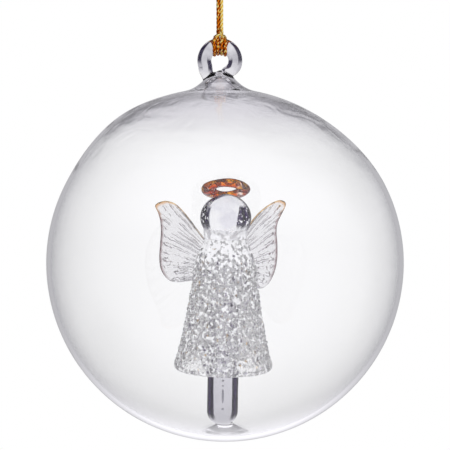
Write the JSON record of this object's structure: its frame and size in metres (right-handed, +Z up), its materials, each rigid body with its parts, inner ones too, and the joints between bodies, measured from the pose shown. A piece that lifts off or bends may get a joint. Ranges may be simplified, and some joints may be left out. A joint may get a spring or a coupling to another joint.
{
  "type": "glass ball ornament",
  "caption": "Clear glass ball ornament with a glass angel fused to its floor on a peg, a curled glass ring on its neck and a loop of gold cord to hang it by.",
  "frame": {"origin": "centre of the cord's eye, where a hook carries the ornament", "axes": "+Z up along the hanging cord, -Y towards the angel's front, +X towards the angel's left wing as the viewer sees it on the right"},
  "size_m": [0.0799, 0.08, 0.1373],
  "materials": {
    "clear_glass": "clear, fire polished",
    "crystal_glass": "clear with fused crystal grains",
    "wing_glass": "clear, ribbed, with a gold lustre rim",
    "amber_glass": "amber lustre, glossy",
    "gold_cord": "metallic braided gold thread"
  },
  "bodies": {
    "hang_loop": {"cord_eye_left": "gold_cord", "cord_eye_right": "gold_cord", "cord_knot": "gold_cord", "cord_tail_left": "gold_cord", "cord_tail_right": "gold_cord"},
    "strands": {"cord_strand_left": "gold_cord", "cord_strand_right": "gold_cord"},
    "hitch": {"cord_hitch": "gold_cord"},
    "ornament": {"ball_shell": "clear_glass", "hanging_ring": "clear_glass", "neck_bead": "clear_glass", "base_seal": "clear_glass", "peg": "clear_glass", "robe": "crystal_glass", "bodice": "clear_glass", "head": "clear_glass", "halo": "amber_glass", "left_wing": "wing_glass", "right_wing": "wing_glass"}
  },
  "joints": [
    {"name": "cord_twist", "type": "hinge", "parent": "hang_loop", "child": "strands", "pos_m": [0, 0, -0.008], "axis": [0, 0, 1], "range_deg": [-180, 180]},
    {"name": "front_swing", "type": "hinge", "parent": "strands", "child": "hitch", "pos_m": [0, 0, -0.034], "axis": [1, 0, 0], "range_deg": [-60, 60]},
    {"name": "side_swing", "type": "hinge", "parent": "hitch", "child": "ornament", "pos_m": [0, 0, -0.04087], "axis": [0, 1, 0], "range_deg": [-45, 45]}
  ]
}
